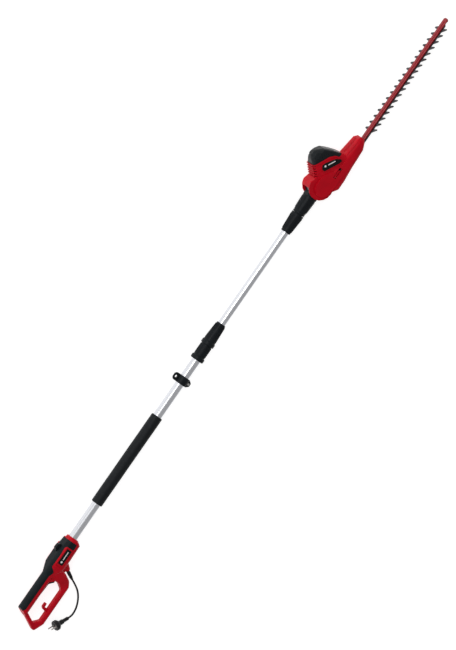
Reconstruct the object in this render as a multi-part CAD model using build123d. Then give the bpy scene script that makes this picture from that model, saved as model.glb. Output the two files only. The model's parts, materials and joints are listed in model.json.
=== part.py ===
from build123d import *
import os
from math import atan2, cos, degrees, hypot, pi, radians, sin, tan

# A corded pole hedge trimmer, lying on its right side on a flat surface.
# +X runs along the pole towards the blade's tip, +Y is the tool's top side and +Z is up.
# Every shape is drawn with the pole's axis on Z = 0, and lifted by AXIS_Z when it is saved.
# In names, "left" is the side that faces up here, and "half" is half a width across Z.
AXIS_Z = 32.0
WALL = 2.8
SKIN = 1.8
FIT = 0.06
GAP = 0.3

# Pole: stations along X, and radii.
OUTER_TUBE_R = 15.0
OUTER_TUBE_BORE = 13.8
OUTER_TUBE_X = (-905.0, -118.0)
INNER_TUBE_R = 13.0
INNER_TUBE_BORE = 11.8
INNER_TUBE_X = (-430.0, 345.0)
SLEEVE_X = (-728.0, -389.5)
SLEEVE_R = 19.5
STRAP_X = -250.5
STRAP_WIDTH = 27.0
STRAP_EYE_R = 4.5
STRAP_EYE_Y = 29.2
STRAP_TAB_HALF = 2.6
LOCK_X = (-172.0, -115.0)
LOCK_NUT_X = (-114.0, -32.0)
COUPLING_X = (323.0, 394.0)
CONNECTOR_X = (395.0, 458.0)
CABLE_R = 8.0

# Rear handle.
HANDLE_FRONT = -870.0
GRIP_Y = -1.0
BAR_HALF = 11.0
RIM_R = 5.5
TRIGGER_PIVOT = (-1066.0, -12.0)
TRIGGER_HALF = 5.5
PIN_R = 2.0
BADGE_CENTRE = (-925.5, 1.75)
BADGE_FLOOR = 30.2
HANDLE_SCREWS = (
    (-1159, -58),
    (-1122, -83.5),
    (-1030, -83.5),
    (-985, -62),
    (-948, -20),
    (-885, -22),
    (-1096, -4),
)

# Head: the tilt pivot, the motor and the gear all stand on the plane Z = 0.
PIVOT_X = 505.7
CHEEK_R = 44.5
CHEEK_HALF = 25.0
BOSS_R = 29.3
PANEL_RISE = 2.2
FORK_HALF = 21.0
KNUCKLE_R = 36.0
KNUCKLE_HALF = 20.5
PIVOT_R = 5.0
TILT_STEP = 15
LATCH_Y = -16.0
MOTOR_X = 579.0
SHAFT_R = 2.5
PINION_TEETH = 8
GEAR_TEETH = 50
MODULE = 1.0
GEAR_X = MOTOR_X + MODULE * (PINION_TEETH + GEAR_TEETH) / 2 + 0.2
AXLE_R = 4.0
CAM_R = 12.5
STROKE = 7.0
HEAD_SCREWS = ((544, -50), (620, -14), (690, -26), (547, 57))

# Cutter: levels along Y, from the rail down to the lower blade.
TEETH = 18
PITCH = 22.83
FIRST_TOOTH = 744.2
TOOTH_TIP = 30.5
BLADE_HALF = 12.0
UPPER_BLADE_Y = (-44.2, -42.2)
LOWER_BLADE_Y = (-46.4, -44.4)
RAIL_Y = (-41.8, -37.4)
RAIL_HALF = 10.5
BASE_Y = (-50.6, -47.2)
RAIL_X = (655.0, 1175.0)
BLADE_BOLTS = (668.0, 720.0, 828.0, 936.0, 1044.0, 1146.0)
BOLT_R = 2.5

# Mains lead: centre line from the strain relief to the plug, and its radius.
CORD_R = 3.15
BOOT_START = (-956.0, -55.0, 0.0)
BOOT_END = (-971.1, -90.2, -4.1)
CORD_ROUTE = (
    (-971.0, -90.0, -4.0),
    (-980.0, -117.0, -13.0),
    (-993.0, -148.0, -25.5),
    (-1013.0, -168.5, -28.7),
    (-1037.0, -181.0, -28.7),
    (-1058.0, -185.0, -28.2),
    (-1073.0, -182.0, -25.9),
    (-1084.4, -174.1, -23.1),
)
PLUG_CENTRE = (-1122.5, -148.0, -14.2)
PLUG_WAY = (-0.81, 0.555, 0.19)
PLUG_TURN = (0.231, 0.005, 0.973)
PLUG_R = 17.0
PLUG_REACH = 50.0
PLUG_PIN_R = 2.4

RISING = (Align.CENTER, Align.CENTER, Align.MIN)

os.makedirs("parts", exist_ok=True)


def save(node, shape):
    solids = shape.solids()
    placed = Pos(0, 0, AXIS_Z) * (solids[0] if len(solids) == 1 else Compound(children=list(solids)))
    placed.label = node
    export_step(placed, f"parts/{node}.step")


def rod_x(x0, x1, r, y=0.0, z=0.0):
    return Pos(x0, y, z) * Rot(0, 90, 0) * Cylinder(r, x1 - x0, align=RISING)


def rod_y(y0, y1, r, x, z=0.0):
    return Pos(x, y0, z) * Rot(-90, 0, 0) * Cylinder(r, y1 - y0, align=RISING)


def rod_z(z0, z1, r, x, y=0.0):
    return Pos(x, y, z0) * Cylinder(r, z1 - z0, align=RISING)


def block(x0, x1, y0, y1, z0, z1):
    return Pos(x0, y0, z0) * Box(x1 - x0, y1 - y0, z1 - z0, align=(Align.MIN, Align.MIN, Align.MIN))


def turned_x(points):
    """A solid turned about the X axis from its half outline of (x, r) points."""
    return revolve(make_face(Polyline(*points, close=True)), Axis.X, 360)


def prism(points, z0, z1):
    """A prism across Z, from its outline of (x, y) or (x, y, corner radius) points."""
    radii = [p[2] if len(p) > 2 else 0 for p in points]
    line = FilletPolyline(*[p[:2] for p in points], radius=radii, close=True)
    return Pos(0, 0, z0) * extrude(make_face(line), z1 - z0, dir=(0, 0, 1))


def rod_along(start, way, length, r0, r1=None):
    """A round bar or cone from start along way."""
    plane = Plane(origin=start, z_dir=way)
    if r1 is None:
        return plane * Cylinder(r0, length, align=(Align.CENTER, Align.CENTER, Align.MIN))
    return plane * Cone(r0, r1, length, align=(Align.CENTER, Align.CENTER, Align.MIN))


def ribs_x(count, x0, x1, r0, r1, width):
    """Small ribs along a pole part, spread round it, at radius r0 at x0 and r1 at x1."""
    lean = degrees(atan2(r1 - r0, x1 - x0))
    bar = Box(hypot(x1 - x0, r1 - r0), width, 1.6, align=(Align.MIN, Align.CENTER, Align.CENTER))
    rib = Pos(x0, 0, r0) * Rot(0, -lean, 0) * bar
    return [Rot(360 * i / count, 0, 0) * rib for i in range(count)]


# ---- Rear handle ----


def grip_form(inset):
    section = Pos(GRIP_Y, 0) * RectangleRounded(36.5 - 2 * inset, 33 - 2 * inset, 15 - inset)
    bar = extrude(Plane.YZ.offset(-1165) * section, 165)
    rear = Plane(origin=(-1137 + inset, 17, 0), x_dir=(-0.4, -0.917, 0), z_dir=(-0.917, 0.4, 0))
    return bar - rear * Pos(0, 0, 50) * Box(300, 300, 100)


def body_form(inset):
    sections = (
        (-1003, GRIP_Y, 36.5, 33, 15),
        (-967, -3.0, 56, 61, 19),
        (-925, -3.0, 56, 62.4, 19),
        (HANDLE_FRONT - inset, -5.3, 50, 57, 17),
    )
    faces = [
        Plane.YZ.offset(x) * Pos(y, 0) * RectangleRounded(tall - 2 * inset, wide - 2 * inset, r - inset)
        for x, y, tall, wide, r in sections
    ]
    return loft(faces, ruled=True)


def leg_form(inset):
    """The flared leg that joins the D-shaped loop to the body, narrower at its rear."""
    sections = (
        (-6, -1004, -960, 16, 30, 8),
        (-30, -1005, -964, 15.5, 26.5, 8),
        (-50, -1006, -968, 14.5, 19, 8),
        (-76, -1020, -979, 10.5, 11.5, 7),
    )
    faces = []
    for y, rear, front, rear_half, front_half, r in sections:
        right = ((rear, -rear_half, r), (front, -front_half, r))
        left = ((front, front_half, r), (rear, rear_half, r))
        faces.append(Plane.XZ.offset(-y) * offset(prism_face(right + left), amount=-inset))
    return loft(faces, ruled=True)


def loop_form(inset):
    outline = (
        (-1139.5, 8, 9),
        (-1177.4, -74, 8),
        (-1141, -92, 14),
        (-999, -92, 14),
        (-982, -80, 12),
        (-966, -46, 12),
        (-966, -14, 9),
        (-1000, -2, 9),
    )
    opening = (
        (-1136.5, -17, 6),
        (-1154, -56, 8),
        (-1136, -75, 10),
        (-1021, -75, 8),
        (-1006, -51, 8),
        (-1006, -37, 6),
        (-1020, -19, 6),
    )
    ring = offset(prism_face(outline), amount=-inset) - offset(prism_face(opening), amount=inset)
    solid = extrude(ring, BAR_HALF - inset, both=True)
    rims = [e for e in solid.edges() if abs(abs(e.center().Z) - (BAR_HALF - inset)) < 0.01]
    return fillet(rims, RIM_R - inset)


def prism_face(points):
    radii = [p[2] for p in points]
    return make_face(FilletPolyline(*[p[:2] for p in points], radius=radii, close=True))


def gland_form(inset):
    """The boss under the body that the lead's strain relief comes out of, and the web behind it."""
    root = Vector(-941, -24, 0)
    boss = rod_along(root, Vector(BOOT_END) - root, 33 - inset, 15 - inset, 9.5 - inset)
    web = Plane.XZ.offset(18) * Pos(-958, 0) * RectangleRounded(36 - 2 * inset, 23 - 2 * inset, 9 - inset)
    return boss + extrude(web, 25 - inset)


def handle_form(inset):
    return grip_form(inset) + body_form(inset) + leg_form(inset) + loop_form(inset) + gland_form(inset)


def soft_region():
    """Side outline of the area that the soft grip covers."""
    outline = (
        (-1190, 60),
        (-1190, 10),
        (-1146, 10, 3),
        (-1132, 0.5, 4),
        (-1004, 0.5, 8),
        (-986, -3, 8),
        (-972, 18, 8),
        (-899, 18, 3),
        (-894, 14, 2),
        (-894, -12, 4),
        (HANDLE_FRONT - 2, -12),
        (HANDLE_FRONT - 2, 60),
    )
    return prism(outline, -50, 50)


def badge_outline(margin):
    return RectangleRounded(55 + 2 * margin, 20.5 + 2 * margin, 2.5 + margin)


def handle_badge(side):
    plate = Pos(*BADGE_CENTRE, BADGE_FLOOR) * extrude(badge_outline(0), 1.0)
    return plate if side > 0 else plate.mirror(Plane.XY)


def badge_frame():
    """The raised frame and the recess round one handle badge, as (added, removed)."""
    frame = RectangleRounded(67, 28, 4) - RectangleRounded(64, 25, 2.5)
    pad = extrude(RectangleRounded(67, 28, 4), 7.4) + extrude(frame, 8)
    return Pos(-926.5, 2, 24) * pad, Pos(*BADGE_CENTRE, BADGE_FLOOR) * extrude(badge_outline(0.15), 3)


def screw(x, y, head_z, tip_z):
    """One tapping screw across Z, its head on the right side."""
    head = rod_z(head_z, head_z + 2.4, 3.4, x, y) - rod_z(head_z - 1, head_z + 1.1, 1.3, x, y)
    return head + rod_z(head_z + 2.4, tip_z, 1.6, x, y)


def handle_screw_half(x, y):
    """How far the handle reaches across Z beside a screw."""
    if y < -50 or x < -1140:
        return BAR_HALF
    if x < -1003:
        return 16.5
    return 29.5


def handle_screw_solids():
    halves = [handle_screw_half(x, y) for x, y in HANDLE_SCREWS]
    return [screw(x, y, 3.2 - half, half - 4.2) for (x, y), half in zip(HANDLE_SCREWS, halves)]


def handle_bosses(outer):
    bosses = [rod_z(-40, 40, 4.2, x, y) for x, y in HANDLE_SCREWS]
    tube_ribs = [rod_x(x, x + 3, 40) for x in (-900, -882)]
    pin_boss = rod_z(-40, 40, 4.4, *TRIGGER_PIVOT)
    return [outer & shape for shape in bosses + tube_ribs + [pin_boss]]


def trigger_pocket():
    half = TRIGGER_HALF + 0.9
    return block(-1075, -1001, -40, 2, -half, half)


def hook():
    """The hook inside the loop that holds an extension lead."""
    outline = (
        (-1105, -77),
        (-1102, -60, 4),
        (-1096, -53, 4),
        (-1080, -53, 3),
        (-1080, -60, 3),
        (-1092, -61, 2),
        (-1094, -66, 2),
        (-1092, -77),
    )
    hook = prism(outline, -4.5, 4.5)
    return hook - loop_form(0)


def handle_shells():
    outer = handle_form(0)
    pad, recess = badge_frame()
    region = soft_region()
    cavity = handle_form(WALL)
    skin = (outer - handle_form(SKIN)) & region
    shell = outer - cavity
    for rib in handle_bosses(outer):
        shell += rib
    shell -= skin
    for mirrored in (False, True):
        flip = (lambda s: s.mirror(Plane.XY)) if mirrored else (lambda s: s)
        shell += flip(pad) - cavity
        shell -= flip(recess)
    shell -= trigger_pocket()
    shell -= rod_x(OUTER_TUBE_X[0] - 1, HANDLE_FRONT + 5, OUTER_TUBE_R)
    shell -= rod_z(-11.8, 11.8, PIN_R, *TRIGGER_PIVOT)
    for x, y in HANDLE_SCREWS:
        half = handle_screw_half(x, y)
        shell -= rod_z(-40, 5.6 - half, 3.6, x, y)
        shell -= rod_z(5 - half, half - 4.2, 1.6, x, y)
    shell -= boot_seat()
    slider_slot = block(-918.6, -905.4, 10, 40, -4.2, 4.2)
    shell -= slider_slot
    skin -= slider_slot + pad + pad.mirror(Plane.XY)
    left = shell & block(-1300, -800, -150, 60, 0, 60)
    right = shell & block(-1300, -800, -150, 60, -60, 0)
    save("handle_shell_left", left)
    save("handle_shell_right", right)
    save("soft_grip", skin)


def boot_seat():
    way = Vector(BOOT_END) - Vector(BOOT_START)
    start = Vector(BOOT_START) - way.normalized() * 14
    return rod_along(start, way, 60, 5.0)


def cord_boot():
    """The tapered rubber strain relief, with its collar inside the boss."""
    way = Vector(BOOT_END) - Vector(BOOT_START)
    neck = Vector(BOOT_START) - way.normalized() * 12
    body = rod_along(neck, way, 12, 5.0) + rod_along(BOOT_START, way, way.length, 6.0, 4.2)
    start = Vector(BOOT_START) + way * 0.22
    rings = [rod_along(start + way * (0.13 * i), way, 2.6, 6.3 - 0.25 * i) for i in range(5)]
    for ring in rings:
        body += ring
    return body


def cord_path():
    points = [Vector(p) for p in CORD_ROUTE]
    runs = [b - a for a, b in zip(points, points[1:])]
    radii = []
    for one, two in zip(runs, runs[1:]):
        half_turn = radians(one.get_angle(two)) / 2
        radii.append(0.45 * min(one.length, two.length) / tan(half_turn))
    print("cord radii", [round(r, 1) for r in radii])
    return FilletPolyline(*points, radius=radii)


def power_cord():
    path = cord_path()
    tube = sweep(Plane(origin=path @ 0, z_dir=path % 0) * Circle(CORD_R), path)
    length = path.length
    ratio = tube.volume / (pi * CORD_R**2 * length)
    print("cord length", round(length, 1), "volume ratio", round(ratio, 4))
    return tube


def plug():
    """A round two-pin plug: the moulded body with its ribbed boot, and the pins."""
    plane = Plane(origin=PLUG_CENTRE, x_dir=PLUG_TURN, z_dir=PLUG_WAY)
    outline = (
        (0, -PLUG_REACH),
        (4.6, -PLUG_REACH),
        (5.4, -31),
        (7.6, -27),
        (8.4, -14),
        (PLUG_R - 1.8, -7),
        (PLUG_R, -4.6),
        (PLUG_R, 5),
        (PLUG_R - 1.4, 6.4),
        (0, 6.4),
    )
    body = revolve(make_face(Plane.XZ * Polyline(*outline, close=True)), Axis.Z, 360)
    for side in (-1, 1):
        body -= Pos(0, side * (PLUG_R + 3.2), 2) * Box(10, 10, 12)
    rings = [Pos(0, 0, 4.4 * i - 46.4) * Cylinder(5.9, 2) for i in range(4)]
    for ring in rings:
        body += ring
    body -= Pos(0, 0, -PLUG_REACH) * Cylinder(CORD_R, 12)
    pin = rod_z(-6, 6.4, PLUG_PIN_R + 0.6, 0)
    pin += rod_z(6.4, 25.4, PLUG_PIN_R, 0)
    pin += Pos(0, 0, 25.4) * Sphere(PLUG_PIN_R)
    both = Compound(children=[Pos(side * 9.5, 0, 0) * pin for side in (-1, 1)])
    body -= both
    save("plug_body", plane * body)
    save("plug_pins", plane * both)


def front_collar():
    """The red nose between the handle and the tube, cut back at its lower front corner."""
    sections = ((HANDLE_FRONT, -7, 47, 53, 16), (-866, -5, 43, 49, 16), (-859.5, -0.6, 38, 38, 17))
    faces = [
        Plane.YZ.offset(x) * Pos(y, 0) * RectangleRounded(tall, wide, r) for x, y, tall, wide, r in sections
    ]
    return loft(faces, ruled=True) - rod_x(HANDLE_FRONT - 1, -858, OUTER_TUBE_R)


def trigger():
    outline = (
        (-1072, -6),
        (-1072, -19, 4),
        (-1062, -20.5, 8),
        (-1025, -22.5, 10),
        (-1012, -37, 2),
        (-1006.5, -36, 2),
        (-1006.5, -24, 3),
        (-1014, -16, 4),
        (-1056, -7.5, 4),
        (-1061, -6, 1),
    )
    lever = prism(outline, -TRIGGER_HALF, TRIGGER_HALF)
    lever -= rod_z(-10, 10, PIN_R + FIT, *TRIGGER_PIVOT)
    straight = lever.edges().filter_by(GeomType.LINE)
    return fillet(straight.filter_by(Axis.Z, reverse=True), 1.0)


def trigger_spring():
    return rod_y(-8.6, -5.2, 3.0, -1046) - rod_y(-8.6, -5.2, 2.2, -1046)


def switch_unit():
    body = block(-1054, -1024, -5, 9, -9, 9)
    return body + block(-1034, -1030, -8.6, -5, -3, 3) - block(-1054, -1050, 3, 9, -9, 9)


def lock_off_slider():
    """The serrated thumb slider on top, which frees the trigger."""
    stem = block(-918, -911, 15.8, 26, -3.8, 3.8)
    outline = (
        (-923.5, 25.4),
        (-923.5, 29, 1),
        (-917, 35.4, 3),
        (-902, 34.2, 3),
        (-898, 28, 1),
        (-898, 23),
    )
    hump = prism(outline, -6.5, 6.5)
    for i in range(5):
        hump -= rod_z(-8, 8, 1.0, -916 + 3.0 * i, 35.6 - 0.24 * i)
    return hump + stem


def terminal_block():
    body = block(-948, -928, -14, -4, -12, 12)
    for z in (-7, 0, 7):
        body -= rod_x(-949, -927, 1.8, -9, z)
        body -= rod_y(-9, -3, 1.6, -938, z)
    return body


# ---- Pole ----


def tube(x_span, r, bore):
    return rod_x(*x_span, r) - rod_x(*x_span, bore)


def grip_sleeve():
    x0, x1 = SLEEVE_X
    outer = ((x0, 18), (x0 + 2.5, SLEEVE_R), (x1 - 2.5, SLEEVE_R), (x1, 18))
    return turned_x(((x0, OUTER_TUBE_R), *outer, (x1, OUTER_TUBE_R)))


def strap_clamp():
    """A split ring on the tube, with an eye above it for a strap's hook."""
    x0, x1 = STRAP_X - STRAP_WIDTH / 2, STRAP_X + STRAP_WIDTH / 2
    ring = rod_x(x0, x1, 20.5)
    half = STRAP_TAB_HALF
    top = prism(((x0, 0), (x0, 38.4, 11), (x1, 38.4, 11), (x1, 0)), -half, half)
    foot = ((x0, 0), (x1, 0), (x1, -20, 3), (x1 - 8, -30.5, 4), (x0 + 8, -30.5, 4), (x0, -20, 3))
    body = ring + top + prism(foot, -7.5, 7.5)
    body -= rod_x(x0 - 1, x1 + 1, OUTER_TUBE_R + FIT)
    body -= rod_z(-20, 20, STRAP_EYE_R, STRAP_X, STRAP_EYE_Y)
    body -= block(x0 - 1, x1 + 1, -40, -10, -1, 1)
    body -= rod_z(-20, 20, 2.05, STRAP_X, -23.5)
    body -= rod_z(5.4, 20, 4.2, STRAP_X, -23.5)
    return body - rod_z(-20, -5, 4.2, STRAP_X, -23.5)


def clamp_screw():
    x, y = STRAP_X, -23.5
    head = rod_z(5.4, 8.4, 4.0, x, y) - rod_z(6.8, 9, 1.6, x, y)
    nut = Pos(x, y, -8) * extrude(RegularPolygon(3.9, 6), 3)
    return head + nut + rod_z(-8, 5.4, 2.0, x, y)


def lock_body():
    x0, x1 = LOCK_X
    outline = (
        (x0, OUTER_TUBE_R),
        (x0, 21),
        (x0 + 3, 23),
        (x0 + 12, 23),
        (x0 + 16, 19.5),
        (x1, 19.5),
        (x1, 18.2),
        (-97, 18.2),
        (-97, 15.6),
        (OUTER_TUBE_X[1], 15.6),
        (OUTER_TUBE_X[1], OUTER_TUBE_R),
    )
    body = turned_x(outline)
    for rib in ribs_x(16, x0 + 19, x1 - 3, 19.6, 19.6, 2.2):
        body += rib
    return body


def lock_collet():
    bore = INNER_TUBE_R + FIT
    body = turned_x(((-114, bore), (-114, 15.3), (-72, 15.3), (-46, 14.3), (-46, bore)))
    for i in range(4):
        body -= Rot(90 * i + 45, 0, 0) * block(-100, -45, -0.8, 0.8, 10, 20)
    return body


def lock_nut():
    x0, x1 = LOCK_NUT_X
    outline = (
        (x0, 18.5),
        (x0, 22),
        (x0 + 2, 23),
        (x0 + 12, 23),
        (x0 + 16, 20.5),
        (x1 - 2, 15.8),
        (x1, 15),
        (x1, INNER_TUBE_R + GAP),
        (-43, INNER_TUBE_R + GAP),
        (-43, 15.6),
        (-95, 15.6),
        (-95, 18.5),
    )
    body = turned_x(outline)
    for rib in ribs_x(20, x0 + 20, x1 - 6, 19.9, 16.7, 2.0):
        body += rib
    return body


def guide_bush():
    x0 = INNER_TUBE_X[0]
    body = turned_x(((x0 - 4, INNER_TUBE_BORE), (x0 - 4, 13.7), (x0, 13.7), (x0, INNER_TUBE_BORE)))
    return body


def pole_socket():
    outline = (
        (326, INNER_TUBE_R),
        (326, 14.5),
        (350, 14.5),
        (350, 16),
        (391, 16),
        (391, 14.6),
        (INNER_TUBE_X[1], 14.6),
        (INNER_TUBE_X[1], INNER_TUBE_R),
    )
    return turned_x(outline)


def coupling_nut():
    x0, x1 = COUPLING_X
    outline = (
        (x0, 14.7),
        (x0, 15.6),
        (x0 + 2, 16.6),
        (x1 - 4, 21.2),
        (x1 - 2, 21.6),
        (x1, 21),
        (x1, 16.2),
        (349, 16.2),
        (349, 14.7),
    )
    body = turned_x(outline)
    for rib in ribs_x(22, x0 + 8, x1 - 8, 17.3, 21.0, 2.0):
        body += rib
    return body


def contact_block():
    body = rod_x(346, 356, 11)
    return body - rod_x(345, 357, 4)


def spiral_cable():
    return tube((-900, 344), CABLE_R, 5.5)


def head_connector():
    """The black piece that plugs into the pole and ends in the tilt joint's knuckle."""
    x0, x1 = CONNECTOR_X
    outline = (
        (357, 10.5),
        (357, 14.5),
        (x0, 14.5),
        (x0, 20.2),
        (x0 + 1.5, 20.8),
        (x0 + 5, 20.8),
        (x0 + 6.5, 19.9),
        (x0 + 8, 20.9),
        (x1, 23.8),
        (x1, 0),
        (x1 - 12, 0),
        (x1 - 12, 10.5),
    )
    body = turned_x(outline)
    for rib in ribs_x(12, x0 + 14, x1 - 6, 21.4, 23.4, 2.4):
        body += rib
    neck = Plane.YZ.offset(x1 - 1)
    tongue = extrude(neck * RectangleRounded(40, 2 * KNUCKLE_HALF, 9), PIVOT_X - x1 + 1)
    knuckle = rod_z(-KNUCKLE_HALF, KNUCKLE_HALF, KNUCKLE_R, PIVOT_X)
    body = body + tongue + knuckle
    for side in (-1, 1):
        low, high = sorted((side * 9, side * 25))
        body -= rod_z(low, high, 29, PIVOT_X) - rod_z(low, high, 13, PIVOT_X)
    slot = rod_z(-5.4, 5.4, 36.6, PIVOT_X) - rod_z(-5.4, 5.4, 12, PIVOT_X)
    return body - slot - rod_z(-30, 30, PIVOT_R + FIT, PIVOT_X)


def detent_ring():
    """The notched plate in the knuckle, one notch for each tilt position."""
    ring = rod_z(-5, 5, 36.4, PIVOT_X) - rod_z(-6, 6, 12, PIVOT_X)
    start = degrees(atan2(LATCH_Y, 36))
    for i in range(-5, 2):
        turn = radians(start + TILT_STEP * i)
        x, y = PIVOT_X + 37 * cos(turn), 37 * sin(turn)
        ring -= Pos(x, y, 0) * Rot(0, 0, degrees(turn)) * Box(7, 5.2, 12)
    return ring


# ---- Head ----


def gearcase_form(inset):
    sections = (
        (508 + inset, -20, 56, 25, 12),
        (532, -23, 76, 29.8, 14),
        (565, -28.5, 65, 29.8, 15),
        (614, -30, 52, 29.6, 15),
        (645, -32, 46, 29, 15),
        (678, -33.5, 40, 27.6, 14),
        (699, -30, 30, 23.5, 12),
        (709 - inset, -31, 16, 15.5, 6),
    )
    faces = [
        Plane.YZ.offset(x) * Pos(y, 0) * RectangleRounded(tall - 2 * inset, 2 * (half - inset), r - inset)
        for x, y, tall, half, r in sections
    ]
    return loft(faces, ruled=True)


def motor_form(inset):
    sections = (
        (-20, 522, 636, 28.5, 12),
        (15, 517, 630, 28.5, 12),
        (38, 518, 623, 28, 12),
        (55, 533, 617, 27.5, 12),
        (71, 547, 610, 25.5, 12),
        (84, 559, 597, 19, 12),
        (91.3 - inset, 570, 586, 9, 7),
    )
    faces = [
        Plane.XZ.offset(-y)
        * Pos((x0 + x1) / 2, 0)
        * RectangleRounded(x1 - x0 - 2 * inset, 2 * (half - inset), r - inset)
        for y, x0, x1, half, r in sections
    ]
    return loft(faces, ruled=True)


def drum_form(inset):
    """The tilt joint's round cheeks, with a flat where they meet the motor housing."""
    drum = rod_z(inset - CHEEK_HALF, CHEEK_HALF - inset, CHEEK_R - inset, PIVOT_X)
    flat = Pos(498.8, 44 - inset, 0) * Rot(0, 0, -17) * block(0, 40, 0, 20, -40, 40)
    return drum - flat


def head_form(inset):
    return drum_form(inset) + gearcase_form(inset) + motor_form(inset)


def cap_region():
    outline = (
        (520, 120),
        (520, 87),
        (546, 71),
        (600, 42, 8),
        (613, 27, 6),
        (617, 13, 3),
        (640, 6),
        (660, 6),
        (660, 120),
    )
    return prism(outline, -50, 50)


def side_panel():
    """Outline of the raised panel that sweeps from the tilt joint along the gear case."""
    sweep_panel = (
        (505, 24.3),
        (533, 23, 14),
        (555, 11.8, 20),
        (575, -1.5, 20),
        (600, -12.5, 20),
        (640, -18, 20),
        (692, -21),
        (692, -36),
        (640, -41, 20),
        (600, -43.5, 20),
        (579, -42, 10),
        (560, -37.5, 10),
        (528, -38, 5),
        (505, -34.2),
    )
    return prism(sweep_panel, -50, 50)


def head_badge_face(margin):
    outline = (
        (552, 40, 4),
        (563, 49, 4),
        (574, 45, 6),
        (605, 21, 6),
        (614, 4, 3),
        (611, -4, 3),
        (599, 0, 6),
        (575, 15, 10),
        (552, 29, 4),
    )
    return offset(prism_face(outline), amount=margin)


def vents(depth, width, half):
    """Louvre slots along the slanted rear face of the motor housing."""
    start, end = Vector(518, 38), Vector(547, 71)
    slope = degrees(atan2(33, 29))
    slots = []
    for i in range(5):
        place = start + (end - start) * ((i + 0.6) / 5.2)
        slots.append(Pos(place.X, place.Y, 0) * Rot(0, 0, slope) * Box(width, 2 * depth, 2 * half))
    return slots


def side_grooves():
    """Shallow grooves that carry the louvre slots on over both side faces."""
    middle = block(480, 620, -50, 120, -27.2, 27.2)
    return [slot - middle for slot in vents(19, 3, 31)]


def neck_ridges():
    """Thin raised ridges along the top and the upper corners of the gear case's front."""
    upper = ((636, -8.9), (645, -9.8), (678, -14.3), (699, -15.8))
    lower = tuple((x, y - 2) for x, y in reversed(upper))
    corners = prism(upper + lower, -50, 50)
    tops = block(640, 698, -40, 0, 1.5, 4) + block(640, 698, -40, 0, -4, -1.5)
    return gearcase_form(-0.8) & (corners + tops)


def louvres():
    start, end = Vector(518, 38), Vector(547, 71)
    slope = degrees(atan2(33, 29))
    lips = []
    for i in range(6):
        place = start + (end - start) * ((i + 0.05) / 5.2)
        lips.append(Pos(place.X, place.Y, 0) * Rot(0, 0, slope) * Box(3, 5, 42))
    return lips


def slot_sector(r0, r1, half, a0, a1):
    """A sector about the tilt pivot, between two angles, that the pole's neck swings in."""
    steps = 8
    turns = [radians(a0 + (a1 - a0) * i / steps) for i in range(steps + 1)]
    outer = [(PIVOT_X + r1 * cos(t), r1 * sin(t)) for t in turns]
    inner = [(PIVOT_X + r0 * cos(t), r0 * sin(t)) for t in reversed(turns)]
    return prism(outer + inner, -half, half)


def head_screw_half(x, y):
    return 26.5 if x > 660 or y > 20 else 30.0


def head_screw_solids():
    return [screw(x, y, 3.2 - head_screw_half(x, y), head_screw_half(x, y) - 4.2) for x, y in HEAD_SCREWS]


def head_shells():
    outer = head_form(0)
    core = rod_z(-40, 40, 41, PIVOT_X)
    cavity = (gearcase_form(WALL) + motor_form(WALL)) - core
    bolt_seats = [rod_z(z, z + 4.6, 20, PIVOT_X) for z in (24, -28.6)]
    boss = rod_z(-AXIS_Z, AXIS_Z, BOSS_R, PIVOT_X, -5)
    sweep_start = block(500, 566, -60, 40, -AXIS_Z, AXIS_Z)
    panel = boss + ((sweep_start + gearcase_form(-PANEL_RISE)) & side_panel())
    inner = ((543, 67), (597, 38, 8), (608.5, 25, 6), (612.5, 10))
    outer_line = ((618, 10), (614, 27.4, 6), (600.6, 42.6, 8), (547, 72))
    rim = (motor_form(-1.4) & prism(inner + outer_line, -50, 50)) - motor_form(0.2)
    shell = outer + panel + rim + (neck_ridges() - gearcase_form(0.2))
    for lip in louvres():
        shell += lip - motor_form(WALL)
    shell -= cavity
    for seat in bolt_seats:
        shell -= seat
    for x, y in HEAD_SCREWS:
        shell += (rod_z(-40, 40, 4.2, x, y) & outer) - core
    shell -= rod_z(-FORK_HALF, FORK_HALF, 38.2, PIVOT_X)
    shell -= slot_sector(30, 75, FORK_HALF, 125, 290)
    shell -= slot_sector(CHEEK_R, 110, 25.2, 125, 290)
    for slot in vents(7, 4, 31) + side_grooves():
        shell -= slot
    shell -= rod_z(-26, 26, PIVOT_R, PIVOT_X)
    shell -= cap_region() & (motor_form(-3) - motor_form(WALL + 0.2))
    for x, y in HEAD_SCREWS:
        half = head_screw_half(x, y)
        shell -= rod_z(-40, 5.6 - half, 3.6, x, y)
        shell -= rod_z(5 - half, half - 4.2, 1.6, x, y)
    for side in (-1, 1):
        pad = extrude(head_badge_face(2.4), 7.4)
        recess = Pos(0, 0, 29.6) * extrude(head_badge_face(0.2), 4)
        placed = Pos(0, 0, 24) * pad - cavity
        shell += placed if side > 0 else placed.mirror(Plane.XY)
        shell -= recess if side > 0 else recess.mirror(Plane.XY)
    shell -= block(686, 720, -70, -41.9, -13.5, 13.5)
    shell -= block(650, 720, -42, RAIL_Y[1] + 1.6, -RAIL_HALF - 0.1, RAIL_HALF + 0.1)
    shell -= latch_pocket()
    left = shell & block(400, 760, -120, 120, 0, 60)
    right = shell & block(400, 760, -120, 120, -60, 0)
    save("head_shell_left", left)
    save("head_shell_right", right)


def latch_pocket():
    """The slot in the left cheek for the tilt latch, and its way through the hub wall."""
    slot = block(553, 590, LATCH_Y - 5.6, LATCH_Y + 5.6, 22, 40)
    bore = block(537, 556, LATCH_Y - 2.9, LATCH_Y + 2.9, -3.4, 40)
    return slot + (bore & rod_z(-4, 27, 60, PIVOT_X))


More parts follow.
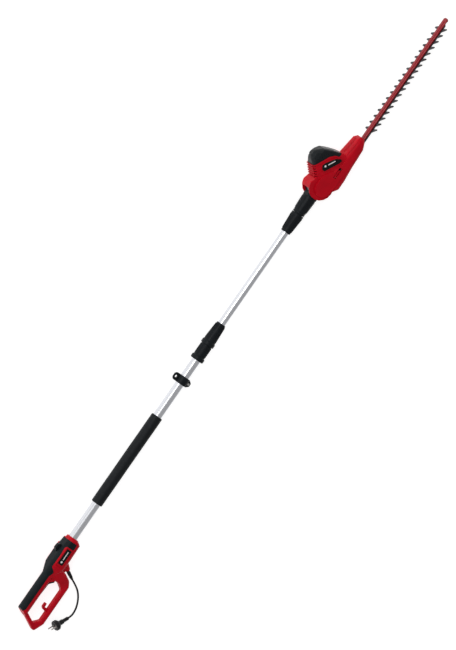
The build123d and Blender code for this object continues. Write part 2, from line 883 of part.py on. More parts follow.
def tilt_latch():
    """The slider that frees the tilt joint: thumb plate, stem and locking finger."""
    low, high = LATCH_Y - 3, LATCH_Y + 3
    plate = prism(((555, low, 2), (582, low, 2), (582, high, 2), (555, high, 2)), 27.0, 31.2)
    for i in range(5):
        plate -= rod_y(LATCH_Y - 5, LATCH_Y + 5, 0.8, 562 + 3.2 * i, 31.4)
    arm = block(545, 562, LATCH_Y - 2.5, LATCH_Y + 2.5, 21.6, 26.5)
    stem = block(556, 562, LATCH_Y - 2.5, LATCH_Y + 2.5, 24, 28)
    finger = block(541.2, 549, LATCH_Y - 2.5, LATCH_Y + 2.5, -3, 26.5)
    return plate + stem + arm + finger


def motor_cap():
    cap = (motor_form(0) - motor_form(WALL)) & cap_region()
    patch = prism(((573, 100), (573, 50, 6), (607, 30, 6), (624, 30), (624, 100)), -14, 14)
    ridge = (motor_form(-0.7) - motor_form(0.3)) & patch
    cap += ridge & cap_region()
    for x, y in HEAD_SCREWS:
        cap -= rod_z(-40, 40, 4.3, x, y)
    return cap


def head_badge(side):
    plate = Pos(0, 0, 29.6) * extrude(head_badge_face(0), 1.0)
    return plate if side > 0 else plate.mirror(Plane.XY)


def pivot_bolt():
    head = rod_z(24, 27.6, 8.5, PIVOT_X) - rod_z(26.6, 29, 3, PIVOT_X)
    nut = Pos(PIVOT_X, 0, -27.6) * extrude(RegularPolygon(8, 6), 3.6)
    return head + nut + rod_z(-24, 24, PIVOT_R, PIVOT_X)


def stator():
    body = rod_y(-4, 40, 24, MOTOR_X) - rod_y(-5, 41, 14.6, MOTOR_X)
    for side in (-1, 1):
        inner, outer = sorted((side * 22, side * 30))
        body -= block(MOTOR_X - 30, MOTOR_X + 30, -5, 41, inner, outer)
    return body


def field_coils():
    coils = []
    for side in (-1, 1):
        ring = rod_y(40.2, 45, 22, MOTOR_X) - rod_y(40, 46, 15.5, MOTOR_X)
        low, high = (2, 21.5) if side > 0 else (-21.5, -2)
        coils.append(ring & block(MOTOR_X - 15, MOTOR_X + 15, 40, 46, low, high))
    return Compound(children=coils)


def armature():
    core = rod_y(-2, 38, 14, MOTOR_X)
    for i in range(12):
        turn = radians(30 * i)
        core -= rod_y(-3, 39, 1.6, MOTOR_X + 13 * cos(turn), 13 * sin(turn))
    core += rod_y(-6, 44, 11.5, MOTOR_X)
    return core - rod_y(-10, 50, SHAFT_R, MOTOR_X)


def motor_shaft():
    """The armature's shaft, with the pinion cut on its lower end."""
    shaft = rod_y(-29, 72, SHAFT_R, MOTOR_X)
    return shaft + gear_wheel(MOTOR_X, -38.5, -29, PINION_TEETH, 4.75, 2.9, 0)


def commutator():
    body = rod_y(47, 60, 10, MOTOR_X) - rod_y(46, 61, SHAFT_R, MOTOR_X)
    for i in range(12):
        turn = radians(30 * i)
        body -= rod_y(48, 61, 0.5, MOTOR_X + 10 * cos(turn), 10 * sin(turn))
    return body


def fan():
    hub = rod_y(-17, -9, 6, MOTOR_X) + rod_y(-17, -15.6, 22, MOTOR_X)
    for i in range(9):
        blade = block(5, 21.5, -16, -9.5, -0.8, 0.8)
        hub += Pos(MOTOR_X, 0, 0) * Rot(0, 40 * i, 0) * blade
    return hub - rod_y(-20, -5, SHAFT_R, MOTOR_X)


def bearings():
    rings = []
    for y0, r in ((-25.9, 8.0), (64, 8.0)):
        ring = rod_y(y0, y0 + 5, r, MOTOR_X) - rod_y(y0 - 1, y0 + 6, SHAFT_R + 0.04, MOTOR_X)
        rings.append(ring - (rod_y(y0 + 4.2, y0 + 6, 6.6, MOTOR_X) - rod_y(y0 + 4.2, y0 + 6, 4.2, MOTOR_X)))
    return Compound(children=rings)


def end_bell():
    """The plastic bridge over the stator that holds the top bearing and the brushes."""
    plate = rod_y(61.5, 66, 23, MOTOR_X) + rod_y(66, 71, 11, MOTOR_X)
    posts = [rod_y(40.1, 61.5, 2.6, MOTOR_X + x, z) for x in (-19.5, 19.5) for z in (-8, 8)]
    for post in posts:
        plate += post
    plate -= rod_y(64, 69, 8.0, MOTOR_X)
    return plate - rod_y(60, 80, SHAFT_R + 1.2, MOTOR_X)


def brush_holders():
    holders = []
    for side in (-1, 1):
        low, high = (11.5, 22.5) if side > 0 else (-22.5, -11.5)
        holder = block(MOTOR_X - 5, MOTOR_X + 5, 48.5, 61.4, low, high)
        holders.append(holder - block(MOTOR_X - 3, MOTOR_X + 3, 50.5, 58.5, low - 1, high + 1))
    return Compound(children=holders)


def carbon_brushes():
    blocks = []
    for side in (-1, 1):
        low, high = (10.15, 20) if side > 0 else (-20, -10.15)
        blocks.append(block(MOTOR_X - 3, MOTOR_X + 3, 50.5, 58.5, low, high))
    return Compound(children=blocks)


def gear_wheel(x, y0, y1, teeth, tip_r, root_r, phase):
    """A spur gear about an upright axis, with straight-sided teeth."""
    pitch_r = MODULE * teeth / 2
    wide = 0.40 * MODULE * 3.1416 / pitch_r / 2
    outline = []
    for i in range(teeth):
        turn = radians(phase) + radians(360 * i / teeth)
        flank = ((root_r, 1.7), (pitch_r, 1.0), (tip_r, 0.42))
        for r, share in [(r, -s) for r, s in flank] + list(reversed(flank)):
            angle = turn + share * wide
            outline.append((r * cos(angle), r * sin(angle)))
    plane = Plane(origin=(x, y0, 0), x_dir=(1, 0, 0), z_dir=(0, 1, 0))
    return plane * extrude(make_face(Polyline(*outline, close=True)), y1 - y0)


def drive_gear():
    """The reduction gear with its two opposed cams, one level for each blade."""
    body = gear_wheel(GEAR_X, -38, -30, GEAR_TEETH, 25.7, 23.6, 180 / GEAR_TEETH)
    body += rod_y(-30, -27.5, 9, GEAR_X)
    body += rod_y(-41.2, -38, 16, GEAR_X)
    body += rod_y(-44.3, -41.2, CAM_R, GEAR_X, STROKE)
    body += rod_y(-46.6, -44.3, CAM_R, GEAR_X, -STROKE)
    for i in range(6):
        turn = radians(60 * i)
        body -= rod_y(-39, -29, 3.2, GEAR_X + 19.3 * cos(turn), 19.3 * sin(turn))
    return body - rod_y(-60, -20, AXLE_R + FIT, GEAR_X)


def gear_axle():
    return rod_y(-50.6, -22, AXLE_R, GEAR_X)


def gearbox_base():
    """The cast plate under the blades, with four posts up to the gearbox cover."""
    low, high = BASE_Y
    plate = fillet(block(556, 648, low, high, -19, 19).edges().filter_by(Axis.Y), 6)
    plate += fillet(block(630, 676, low, high, -13, 13).edges().filter_by(Axis.Y), 5)
    for z in (-15, 15):
        plate += rod_y(high, -26, 3.4, 563, z)
    plate -= rod_y(-60, -40, AXLE_R, GEAR_X)
    plate -= rod_y(-60, -40, BOLT_R, BLADE_BOLTS[0])
    return plate - rod_y(low - 1, low + 2.4, 4.4, BLADE_BOLTS[0])


def gearbox_cover():
    plate = block(555, 645, -26, -22, -24.5, 24.5)
    plate = fillet(plate.edges().filter_by(Axis.Y), 8)
    plate += rod_y(-26, -19.8, 11, MOTOR_X)
    plate -= rod_y(-25.9, -20.9, 8.0, MOTOR_X)
    plate -= rod_y(-30, -10, 4.5, MOTOR_X)
    return plate - rod_y(-30, -21, AXLE_R, GEAR_X)


def blade_outline():
    """The blade's outline: a yoke at the rear, a bar, and leaning teeth on both edges."""
    near = []
    far = []
    for i in range(TEETH):
        tip = FIRST_TOOTH + PITCH * i
        far += [(tip - 3.5, -BLADE_HALF), (tip - 2.6, -TOOTH_TIP)]
        far += [(tip + 2.2, -TOOTH_TIP), (tip + 11, -BLADE_HALF)]
        tip += 10.8
        near += [(tip - 15.5, BLADE_HALF), (tip - 2.6, TOOTH_TIP - 2), (tip - 1, TOOTH_TIP)]
        near += [(tip + 2.4, TOOTH_TIP), (tip - 3.5, BLADE_HALF)]
    yoke_low = [(577, 24), (577, -24), (639, -24), (650, -BLADE_HALF)]
    yoke_high = [(650, BLADE_HALF), (639, 24)]
    end = [(1151, -BLADE_HALF), (1156, -6), (1156, 6), (1151, BLADE_HALF)]
    return yoke_low + far + end + list(reversed(near)) + yoke_high


def blade(levels):
    low, high = levels
    plane = Plane(origin=(0, low, 0), x_dir=(1, 0, 0), z_dir=(0, 1, 0))
    outline = Polyline(*[(x, -z) for x, z in blade_outline()], close=True)
    body = plane * extrude(make_face(outline), high - low)
    body -= block(GEAR_X - 27, GEAR_X + 27, low - 1, high + 1, -19.9, 19.9)
    for x in BLADE_BOLTS:
        reach = STROKE + 0.6
        body -= block(x - reach, x + reach, low - 1, high + 1, -BOLT_R - 0.4, BOLT_R + 0.4)
        for end in (x - reach, x + reach):
            body -= rod_y(low - 1, high + 1, BOLT_R + 0.4, end)
    return body


def blade_rail():
    """The guard rail over the blades, with a raised rib along its top and a rounded tip."""
    x0, x1 = RAIL_X
    low, high = RAIL_Y
    plane = Plane(origin=(0, low, 0), x_dir=(1, 0, 0), z_dir=(0, 1, 0))
    outline = (
        (x0, RAIL_HALF, 2),
        (x1 - 36, RAIL_HALF, 6),
        (x1 - 31, RAIL_HALF + 1, 6),
        (x1, RAIL_HALF + 1, 8),
        (x1, -RAIL_HALF - 1, 8),
        (x1 - 31, -RAIL_HALF - 1, 6),
        (x1 - 36, -RAIL_HALF, 6),
        (x0, -RAIL_HALF, 2),
    )
    body = plane * extrude(prism_face(outline), high - low)
    body = chamfer(body.edges().group_by(Axis.Y)[-1], 1.2)
    rib = plane * Pos((x0 + x1) / 2, 0, high - low) * extrude(SlotOverall(x1 - x0 - 24, 7.5), 1.2)
    body += rib
    nose = RectangleRounded(20, 2 * RAIL_HALF - 2, 6)
    tip = plane * Pos(x1 - 12, 0, 0) * extrude(nose, UPPER_BLADE_Y[0] - low)
    for x in BLADE_BOLTS:
        body -= rod_y(low - 1, -38.6, BOLT_R, x)
    return body + (tip & block(x1 - 10, x1 + 1, -50, low, -20, 20))


def blade_bolts():
    """Shoulder bolts up through both blades into the rail."""
    bolts = []
    for x in BLADE_BOLTS:
        low = BASE_Y[0] + 2.4 if x == BLADE_BOLTS[0] else LOWER_BLADE_Y[0] - 0.2
        shank = rod_y(low, -38.6, BOLT_R, x)
        head = rod_y(low - 2.4, low, 4.2, x) - rod_y(low - 3, low - 1.2, 1.8, x)
        bolts.append(shank + head)
    return Compound(children=bolts)


def main():
    handle_shells()
    save("cable_hook", hook())
    save("front_collar", front_collar())
    save("handle_badge_left", handle_badge(1))
    save("handle_badge_right", handle_badge(-1))
    save("handle_screws", Compound(children=handle_screw_solids()))
    save("trigger", trigger())
    save("trigger_pin", rod_z(-11.8, 11.8, PIN_R, *TRIGGER_PIVOT))
    save("trigger_spring", trigger_spring())
    save("switch_unit", switch_unit())
    save("lock_off_slider", lock_off_slider())
    save("terminal_block", terminal_block())
    save("cord_boot", cord_boot())
    save("power_cord", power_cord())
    plug()
    save("outer_tube", tube(OUTER_TUBE_X, OUTER_TUBE_R, OUTER_TUBE_BORE))
    save("grip_sleeve", grip_sleeve())
    save("strap_clamp", strap_clamp())
    save("clamp_screw", clamp_screw())
    save("lock_body", lock_body())
    save("lock_collet", lock_collet())
    save("lock_nut", lock_nut())
    save("inner_tube", tube(INNER_TUBE_X, INNER_TUBE_R, INNER_TUBE_BORE))
    save("guide_bush", guide_bush())
    save("spiral_cable", spiral_cable())
    save("pole_socket", pole_socket())
    save("coupling_nut", coupling_nut())
    save("contact_block", contact_block())
    save("head_connector", head_connector())
    save("detent_ring", detent_ring())
    head_shells()
    save("motor_cap", motor_cap())
    save("head_badge_left", head_badge(1))
    save("head_badge_right", head_badge(-1))
    save("head_screws", Compound(children=head_screw_solids()))
    save("pivot_bolt", pivot_bolt())
    save("tilt_latch", tilt_latch())
    save("stator", stator())
    save("field_coils", field_coils())
    save("armature", armature())
    save("motor_shaft", motor_shaft())
    save("commutator", commutator())
    save("fan", fan())
    save("motor_bearings", bearings())
    save("end_bell", end_bell())
    save("brush_holders", brush_holders())
    save("carbon_brushes", carbon_brushes())
    save("gearbox_base", gearbox_base())
    save("gearbox_cover", gearbox_cover())
    save("gear_axle", gear_axle())
    save("drive_gear", drive_gear())
    save("upper_blade", blade(UPPER_BLADE_Y))
    save("lower_blade", blade(LOWER_BLADE_Y))
    save("blade_rail", blade_rail())
    save("blade_bolts", blade_bolts())


main()
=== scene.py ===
import json
import math

import bmesh
import bpy
from mathutils import Matrix, Vector, noise


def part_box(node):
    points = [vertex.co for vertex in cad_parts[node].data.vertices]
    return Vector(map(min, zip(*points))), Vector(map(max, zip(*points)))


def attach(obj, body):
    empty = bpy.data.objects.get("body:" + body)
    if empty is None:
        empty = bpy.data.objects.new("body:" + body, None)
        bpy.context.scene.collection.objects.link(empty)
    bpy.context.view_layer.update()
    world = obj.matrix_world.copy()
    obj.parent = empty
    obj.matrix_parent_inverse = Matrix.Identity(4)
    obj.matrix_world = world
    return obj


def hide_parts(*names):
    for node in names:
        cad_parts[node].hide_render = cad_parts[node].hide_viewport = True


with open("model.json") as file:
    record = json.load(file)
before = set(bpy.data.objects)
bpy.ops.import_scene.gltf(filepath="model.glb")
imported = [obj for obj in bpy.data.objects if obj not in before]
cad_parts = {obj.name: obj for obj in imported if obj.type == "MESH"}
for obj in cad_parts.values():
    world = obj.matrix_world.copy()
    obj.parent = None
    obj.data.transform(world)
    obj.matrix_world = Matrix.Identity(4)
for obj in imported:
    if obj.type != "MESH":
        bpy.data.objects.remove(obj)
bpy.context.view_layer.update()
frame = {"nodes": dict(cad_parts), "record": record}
scene = bpy.context.scene

# Everything below is in metres, about the pole's axis, which lies this high above the floor.
AXIS = Vector((0, 0, 0.032))


def mm(x, y, z):
    """A point given in millimetres about the pole's axis, in the row frame."""
    return AXIS + Vector((x, y, z)) / 1000


# ---- Camera ----

TO_CAMERA = Vector((0, 0.5446, 0.8387))
RIGHT = Vector((0.5711, -0.6885, 0.4471))
UP = TO_CAMERA.cross(RIGHT)
DISTANCE = 28.7
AIM_RIGHT, AIM_UP = 0.0022, -0.0302
LENS_MM, SENSOR_MM = 500, 36

camera_data = bpy.data.cameras.new("camera")
camera = bpy.data.objects.new("camera", camera_data)
scene.collection.objects.link(camera)
aim = AXIS + AIM_RIGHT * RIGHT + AIM_UP * UP
turn = Matrix((RIGHT, UP, TO_CAMERA)).transposed().to_4x4()
camera.matrix_world = Matrix.Translation(aim + TO_CAMERA * DISTANCE) @ turn
camera_data.sensor_fit = "AUTO"
camera_data.sensor_width = SENSOR_MM
camera_data.lens = LENS_MM
camera_data.clip_end = 100
camera_data.dof.use_dof = False
scene.camera = camera

# ---- Mains lead ----

CORD_R = 0.00315
# Blender adds a point's radius to a curve's bound box, so it is small and the bevel makes up for it.
POINT_RADIUS = 0.003
CORD_ROUTE = (
    (-971.0, -90.0, -4.0),
    (-980.0, -117.0, -13.0),
    (-993.0, -148.0, -25.5),
    (-1013.0, -168.5, -28.7),
    (-1037.0, -181.0, -28.7),
    (-1058.0, -185.0, -28.2),
    (-1073.0, -182.0, -25.9),
    (-1084.4, -174.1, -23.1),
)


def lead():
    curve = bpy.data.curves.new("lead", "CURVE")
    curve.dimensions = "3D"
    spline = curve.splines.new("NURBS")
    spline.points.add(len(CORD_ROUTE) - 1)
    for point, place in zip(spline.points, CORD_ROUTE):
        point.co = (*mm(*place), 1)
        point.radius = POINT_RADIUS
    spline.order_u = 3
    spline.use_endpoint_u = True
    spline.resolution_u = 12
    curve.bevel_depth = CORD_R / POINT_RADIUS
    curve.bevel_resolution = 5
    curve.use_fill_caps = True
    piece = bpy.data.objects.new("lead", curve)
    scene.collection.objects.link(piece)
    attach(piece, "handle")
    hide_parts("power_cord")
    return piece


lead_piece = lead()

# ---- Materials ----


class Material:
    """A procedural material: one Principled shader fed by noise in object coordinates."""

    def __init__(self, name, rough, metallic=0.0, **fixed):
        self.material = bpy.data.materials.new(name)
        self.material.use_nodes = True
        self.nodes = self.material.node_tree.nodes
        self.links = self.material.node_tree.links
        self.shader = self.nodes["Principled BSDF"]
        self.shader.inputs["Roughness"].default_value = rough
        self.shader.inputs["Metallic"].default_value = metallic
        for socket, value in fixed.items():
            self.shader.inputs[socket.replace("_", " ")].default_value = value
        self.place = self.nodes.new("ShaderNodeTexCoord").outputs["Object"]
        self.normal = None

    def mapped(self, stretch):
        node = self.nodes.new("ShaderNodeMapping")
        node.inputs["Scale"].default_value = stretch
        self.links.new(self.place, node.inputs["Vector"])
        return node.outputs["Vector"]

    def noise(self, scale, detail=3.0, stretch=(1, 1, 1), distortion=0.0):
        node = self.nodes.new("ShaderNodeTexNoise")
        node.inputs["Scale"].default_value = scale
        node.inputs["Detail"].default_value = detail
        node.inputs["Distortion"].default_value = distortion
        self.links.new(self.mapped(stretch), node.inputs["Vector"])
        return node.outputs["Fac"]

    def cells(self, scale, stretch=(1, 1, 1)):
        node = self.nodes.new("ShaderNodeTexVoronoi")
        node.inputs["Scale"].default_value = scale
        self.links.new(self.mapped(stretch), node.inputs["Vector"])
        return node.outputs["Distance"]

    def bands(self, scale, direction="X", distortion=0.0):
        node = self.nodes.new("ShaderNodeTexWave")
        node.bands_direction = direction
        node.inputs["Scale"].default_value = scale
        node.inputs["Distortion"].default_value = distortion
        self.links.new(self.place, node.inputs["Vector"])
        return node.outputs["Fac"]

    def ramp(self, fac, stops):
        """A colour ramp over fac, from (place, colour) stops."""
        node = self.nodes.new("ShaderNodeValToRGB")
        elements = node.color_ramp.elements
        while len(elements) < len(stops):
            elements.new(1)
        for element, (place, colour) in zip(elements, stops):
            element.position = place
            element.color = (*colour, 1)
        self.links.new(fac, node.inputs["Fac"])
        return node.outputs["Color"]

    def colour(self, fac, stops):
        self.links.new(self.ramp(fac, stops), self.shader.inputs["Base Color"])

    def blotch(self, base, amount, scale, detail=4.0, stretch=(1, 1, 1)):
        """The base colour, a little darker and lighter in soft patches."""
        dark = [c * (1 - amount) for c in base]
        light = [min(1, c * (1 + amount)) for c in base]
        self.colour(self.noise(scale, detail, stretch), [(0.36, dark), (0.5, base), (0.66, light)])

    def roughness(self, fac, low, high):
        node = self.nodes.new("ShaderNodeMapRange")
        node.inputs["From Min"].default_value = 0.3
        node.inputs["From Max"].default_value = 0.7
        node.inputs["To Min"].default_value = low
        node.inputs["To Max"].default_value = high
        self.links.new(fac, node.inputs["Value"])
        self.links.new(node.outputs["Result"], self.shader.inputs["Roughness"])

    def soften(self, radius):
        """Rounds the look of hard edges."""
        node = self.nodes.new("ShaderNodeBevel")
        node.samples = 4
        node.inputs["Radius"].default_value = radius
        self.normal = node.outputs["Normal"]

    def bump(self, height, depth, strength=1.0):
        node = self.nodes.new("ShaderNodeBump")
        node.inputs["Strength"].default_value = strength
        node.inputs["Distance"].default_value = depth
        self.links.new(height, node.inputs["Height"])
        if self.normal:
            self.links.new(self.normal, node.inputs["Normal"])
        self.normal = node.outputs["Normal"]

    def done(self):
        if self.normal:
            self.links.new(self.normal, self.shader.inputs["Normal"])
        return self.material


def red_plastic():
    m = Material("red_plastic", 0.36, Specular_IOR_Level=0.09)
    m.blotch((0.48, 0.002, 0.011), 0.07, 26)
    m.roughness(m.noise(240, 5), 0.28, 0.42)
    m.soften(0.0013)
    m.bump(m.noise(900, 4), 0.00006, 0.35)
    m.bump(m.noise(60, 2), 0.00025, 0.12)
    return m.done()


def rail_red():
    m = Material("rail_red", 0.28, Specular_IOR_Level=0.3)
    m.blotch((0.26, 0.0015, 0.008), 0.08, 40)
    m.roughness(m.noise(300, 5), 0.24, 0.38)
    m.soften(0.0012)
    m.bump(m.noise(420, 3), 0.00008, 0.4)
    return m.done()


def black_plastic():
    m = Material("black_plastic", 0.42, Specular_IOR_Level=0.13)
    m.blotch((0.0058, 0.0080, 0.0100), 0.16, 60)
    m.roughness(m.noise(320, 5), 0.34, 0.52)
    m.soften(0.0006)
    m.bump(m.cells(1300), 0.00005, 0.4)
    return m.done()


def cap_black():
    m = Material("cap_black", 0.32, Specular_IOR_Level=0.2)
    m.blotch((0.0048, 0.0068, 0.0086), 0.12, 30)
    m.roughness(m.noise(260, 5), 0.24, 0.38)
    m.soften(0.0007)
    m.bump(m.noise(900, 4), 0.00005, 0.35)
    return m.done()


def soft_rubber():
    m = Material("soft_rubber", 0.55, Specular_IOR_Level=0.12)
    m.blotch((0.0068, 0.0104, 0.0124), 0.18, 45)
    m.roughness(m.noise(380, 5), 0.44, 0.62)
    m.soften(0.0007)
    m.bump(m.cells(620), 0.00012, 0.5)
    return m.done()


def badge_black():
    m = Material("badge_black", 0.16, Specular_IOR_Level=0.15)
    m.blotch((0.0045, 0.0045, 0.005), 0.1, 80)
    m.roughness(m.noise(500, 4), 0.13, 0.22)
    m.bump(m.noise(700, 3), 0.00002, 0.3)
    return m.done()


def mark_white():
    m = Material("mark_white", 0.35)
    m.blotch((0.78, 0.77, 0.76), 0.05, 300)
    m.roughness(m.noise(900, 4), 0.3, 0.45)
    return m.done()


def pale_plastic():
    m = Material("pale_plastic", 0.4, Subsurface_Weight=0.05)
    m.blotch((0.44, 0.43, 0.38), 0.08, 70)
    m.roughness(m.noise(400, 5), 0.34, 0.5)
    m.bump(m.noise(1200, 4), 0.00005, 0.4)
    return m.done()


def sleeve_foam():
    m = Material("sleeve_foam", 0.6, Specular_IOR_Level=0.18)
    m.blotch((0.0060, 0.0078, 0.0094), 0.22, 90)
    m.roughness(m.noise(420, 6), 0.46, 0.64)
    m.bump(m.cells(900), 0.00016, 0.5)
    m.bump(m.noise(160, 4), 0.0004, 0.18)
    return m.done()


def tube_aluminium():
    """Drawn and anodised: fine lines along the pole."""
    m = Material("tube_aluminium", 0.24, 1.0)
    m.blotch((0.70, 0.71, 0.745), 0.05, 260, 5, (0.02, 1, 1))
    m.roughness(m.noise(1500, 4, (0.006, 1, 1)), 0.2, 0.34)
    m.bump(m.noise(2600, 3, (0.004, 1, 1)), 0.00002, 0.5)
    return m.done()


def zinc_steel():
    m = Material("zinc_steel", 0.32, 1.0)
    m.blotch((0.55, 0.55, 0.53), 0.12, 260)
    m.roughness(m.noise(700, 5), 0.24, 0.44)
    m.bump(m.noise(1500, 4), 0.00003, 0.4)
    return m.done()


def blade_steel():
    """Ground steel, with grinding lines across the blade and a little oil staining."""
    m = Material("blade_steel", 0.3, 1.0)
    stops = [(0.3, (0.03, 0.03, 0.033)), (0.52, (0.07, 0.071, 0.075)), (0.7, (0.13, 0.13, 0.13))]
    m.colour(m.noise(70, 6, (1, 1, 1), 0.4), stops)
    m.roughness(m.noise(900, 4, (1, 1, 0.05)), 0.2, 0.42)
    m.bump(m.noise(2400, 3, (1, 1, 0.02)), 0.00003, 0.5)
    return m.done()


def core_steel():
    """Stacked laminations."""
    m = Material("core_steel", 0.45, 0.8)
    m.blotch((0.14, 0.14, 0.15), 0.2, 160)
    m.roughness(m.noise(500, 4), 0.38, 0.58)
    m.bump(m.bands(620, "Y"), 0.00012, 0.7)
    return m.done()


def cast_alloy():
    m = Material("cast_alloy", 0.48, 0.9)
    m.blotch((0.42, 0.42, 0.43), 0.12, 90)
    m.roughness(m.noise(300, 5), 0.4, 0.6)
    m.bump(m.noise(480, 6), 0.00022, 0.5)
    return m.done()


def copper():
    """Enamelled winding wire."""
    m = Material("copper", 0.3, 0.9, Coat_Weight=0.4)
    m.blotch((0.55, 0.19, 0.07), 0.18, 150)
    m.roughness(m.noise(400, 4), 0.24, 0.4)
    m.bump(m.bands(420, "Z", 1.5), 0.0003, 0.8)
    return m.done()


def carbon():
    m = Material("carbon", 0.6)
    m.blotch((0.02, 0.02, 0.021), 0.25, 500)
    m.bump(m.noise(1400, 5), 0.00006, 0.6)
    return m.done()


def pin_metal():
    m = Material("pin_metal", 0.18, 1.0)
    m.blotch((0.62, 0.61, 0.58), 0.08, 400)
    m.roughness(m.noise(900, 4), 0.14, 0.28)
    return m.done()


def cord_rubber():
    m = Material("cord_rubber", 0.45, Specular_IOR_Level=0.25)
    m.blotch((0.008, 0.0085, 0.0095), 0.2, 140)
    m.roughness(m.noise(500, 5), 0.38, 0.55)
    m.bump(m.noise(1300, 4), 0.00006, 0.5)
    return m.done()


MAKERS = (
    red_plastic,
    rail_red,
    black_plastic,
    cap_black,
    soft_rubber,
    badge_black,
    mark_white,
    pale_plastic,
    sleeve_foam,
    tube_aluminium,
    zinc_steel,
    blade_steel,
    core_steel,
    cast_alloy,
    copper,
    carbon,
    pin_metal,
    cord_rubber,
)
MATERIALS = {make.__name__: make() for make in MAKERS}


def paint(piece, look):
    piece.data.materials.clear()
    piece.data.materials.append(MATERIALS[look])


for part in frame["record"]["subparts"]:
    paint(frame["nodes"][part["node"]], part["material_slot"])
paint(lead_piece, "cord_rubber")

# ---- Pieces ----


def piece_from(bm, name, body, look, smooth):
    """A new piece that rides on body and wears the material look."""
    mesh = bpy.data.meshes.new(name)
    bmesh.ops.recalc_face_normals(bm, faces=bm.faces)
    bm.to_mesh(mesh)
    bm.free()
    for face in mesh.polygons:
        face.use_smooth = smooth
    piece = bpy.data.objects.new(name, mesh)
    scene.collection.objects.link(piece)
    paint(piece, look)
    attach(piece, body)
    return piece


SLEEVE_INNER, SLEEVE_OUTER = 0.01502, 0.0194
SLEEVE_GAP = 0.0001
ROLL = 0.0045
ROLLED_END = ((0, SLEEVE_INNER), (0, 0.0172), (0.0006, 0.0184), (0.002, 0.0192), (ROLL, SLEEVE_OUTER))
SLEEVE_STEPS = 90
SLEEVE_SIDES = 56
SWELL = 0.00022
SWELLS_PER_METRE, SWELLS_AROUND = 22, 2.2


def swell(x, r, way):
    """How far the foam stands out at this place; its bore stays round."""
    if r <= SLEEVE_INNER + 0.001:
        return 0
    place = Vector((x * SWELLS_PER_METRE, SWELLS_AROUND * way.y, SWELLS_AROUND * way.z))
    return SWELL * noise.noise(place)


def sleeve():
    """The padded sleeve: a slightly uneven foam tube with rolled ends."""
    low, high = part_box("grip_sleeve")
    length = high.x - low.x
    straight = length - 2 * ROLL
    middle = [(ROLL + straight * i / SLEEVE_STEPS, SLEEVE_OUTER) for i in range(1, SLEEVE_STEPS)]
    far_end = [(length - x, r) for x, r in reversed(ROLLED_END)]
    bm = bmesh.new()
    rings = []
    for x, r in [*ROLLED_END, *middle, *far_end]:
        ring = []
        for k in range(SLEEVE_SIDES):
            a = 2 * math.pi * k / SLEEVE_SIDES
            way = Vector((0, math.cos(a), math.sin(a)))
            centre = AXIS + Vector((low.x + x, 0, 0))
            ring.append(bm.verts.new(centre + way * (r + swell(x, r, way) - SLEEVE_GAP)))
        rings.append(ring)
    for one, two in zip(rings, rings[1:] + rings[:1]):
        for k in range(SLEEVE_SIDES):
            after = (k + 1) % SLEEVE_SIDES
            bm.faces.new((one[k], one[after], two[after], two[k]))
    piece = piece_from(bm, "foam_sleeve", "handle", "sleeve_foam", True)
    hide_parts("grip_sleeve")


CORNER_STEPS = 6
STEP_DEG = 90 / CORNER_STEPS


def stamp(bm, centre, along, half_long, half_wide, z0, z1, corner):
    """Adds a low plate with rounded corners to bm, its outline in millimetres across Z."""
    along = Vector((*along, 0)).normalized()
    across = Vector((-along.y, along.x, 0))
    outline = []
    for sx, sy, start in ((1, 1, 0), (-1, 1, 90), (-1, -1, 180), (1, -1, 270)):
        for step in range(CORNER_STEPS + 1):
            a = math.radians(start + STEP_DEG * step)
            x = sx * (half_long - corner) + corner * math.cos(a)
            y = sy * (half_wide - corner) + corner * math.sin(a)
            outline.append(Vector((*centre, 0)) + along * x + across * y)
    low = [bm.verts.new(mm(p.x, p.y, z0)) for p in outline]
    high = [bm.verts.new(mm(p.x, p.y, z1)) for p in outline]
    bm.faces.new(high)
    bm.faces.new(list(reversed(low)))
    for i in range(len(low)):
        j = (i + 1) % len(low)
        bm.faces.new((low[i], low[j], high[j], high[i]))


MARK_SINK, MARK_RISE = 0.1, 0.25


def mark(name, body, face, dot, dot_r, bar, bar_end, bar_half):
    """A plain dot and bar on a badge, on the side that face's sign gives."""
    z0 = face - math.copysign(MARK_SINK, face)
    z1 = face + math.copysign(MARK_RISE, face)
    bm = bmesh.new()
    stamp(bm, dot, (1, 0), dot_r, dot_r, z0, z1, dot_r * 0.98)
    middle = ((bar[0] + bar_end[0]) / 2, (bar[1] + bar_end[1]) / 2)
    way = (bar_end[0] - bar[0], bar_end[1] - bar[1])
    stamp(bm, middle, way, math.hypot(*way) / 2, bar_half, z0, z1, bar_half * 0.9)
    piece_from(bm, name, body, "mark_white", False)


# In millimetres: each badge's face from the pole's axis; the dot's centre and radius; the bar's two ends.
HANDLE_FACE, HANDLE_MARK = 31.2, ((-943.5, 1.75), 3.6, (-935.5, 1.75), (-905, 1.75))
HEAD_FACE, HEAD_MARK = 30.6, ((567, 37), 3.5, (575, 31.5), (599, 17))
BAR_HALF = 1.5

sleeve()
for side, word in ((1, "left"), (-1, "right")):
    mark(f"handle_mark_{word}", "handle", side * HANDLE_FACE, *HANDLE_MARK, BAR_HALF)
    mark(f"head_mark_{word}", "head", side * HEAD_FACE, *HEAD_MARK, BAR_HALF)

# ---- Floor and light ----


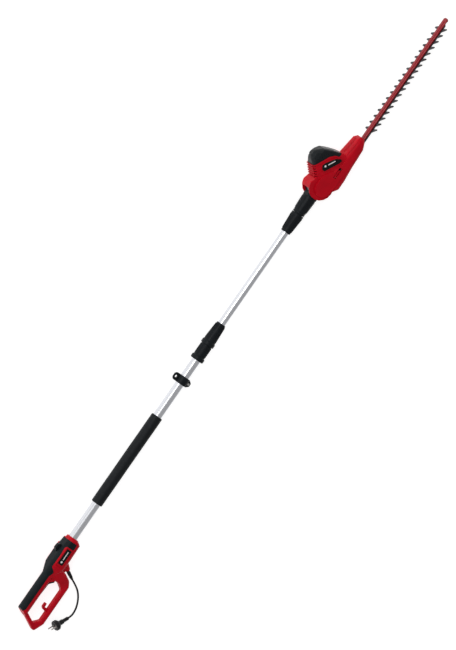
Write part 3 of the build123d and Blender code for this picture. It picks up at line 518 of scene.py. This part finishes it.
FLOOR_REACH = 400
FLOOR_TONE = 0.46
FLOOR_GLOW = 0.8
KEY_WAY = (0.15, 0.75, 0.66)
KEY_DISTANCE = 4.0
KEY_SIZE = 1.6
KEY_POWER = 42
SKY_UP = (0, 0.8387, -0.5446)
SKY_DIM, SKY_BRIGHT = 0.46, 1.0
SKY_EDGE = 0.2
SKY_STRENGTH = 0.95


def floor():
    mesh = bpy.data.meshes.new("floor")
    far = FLOOR_REACH
    corners = [(-far, -far, 0), (far, -far, 0), (far, far, 0), (-far, far, 0)]
    mesh.from_pydata(corners, [], [(0, 1, 2, 3)])
    piece = bpy.data.objects.new("floor", mesh)
    scene.collection.objects.link(piece)
    m = Material("floor_white", 0.8)
    m.blotch([FLOOR_TONE] * 3, 0.005, 3)
    m.shader.inputs["Emission Color"].default_value = (1, 1, 1, 1)
    m.shader.inputs["Emission Strength"].default_value = FLOOR_GLOW
    piece.data.materials.append(m.done())


def softbox(name, way, distance, size, power):
    data = bpy.data.lights.new(name, "AREA")
    data.shape = "SQUARE"
    data.size = size
    data.energy = power
    light = bpy.data.objects.new(name, data)
    scene.collection.objects.link(light)
    way = Vector(way).normalized()
    light.location = AXIS + way * distance
    light.rotation_mode = "QUATERNION"
    light.rotation_quaternion = way.to_track_quat("Z", "Y")


def sky():
    """A soft studio surround, dim below the tool and bright towards its top side."""
    world = bpy.data.worlds.new("studio")
    world.use_nodes = True
    scene.world = world
    nodes, links = world.node_tree.nodes, world.node_tree.links
    place = nodes.new("ShaderNodeTexCoord")
    lean = nodes.new("ShaderNodeVectorMath")
    lean.operation = "DOT_PRODUCT"
    lean.inputs[1].default_value = SKY_UP
    links.new(place.outputs["Generated"], lean.inputs[0])
    ramp = nodes.new("ShaderNodeValToRGB")
    dim, bright = ramp.color_ramp.elements
    dim.position = 0.0
    dim.color = (SKY_DIM, SKY_DIM, SKY_DIM, 1)
    bright.position = SKY_EDGE
    bright.color = (SKY_BRIGHT, SKY_BRIGHT, SKY_BRIGHT, 1)
    links.new(lean.outputs["Value"], ramp.inputs["Fac"])
    links.new(ramp.outputs["Color"], nodes["Background"].inputs["Color"])
    nodes["Background"].inputs["Strength"].default_value = SKY_STRENGTH


floor()
sky()
softbox("key_light", KEY_WAY, KEY_DISTANCE, KEY_SIZE, KEY_POWER)
scene.view_settings.view_transform = "Standard"
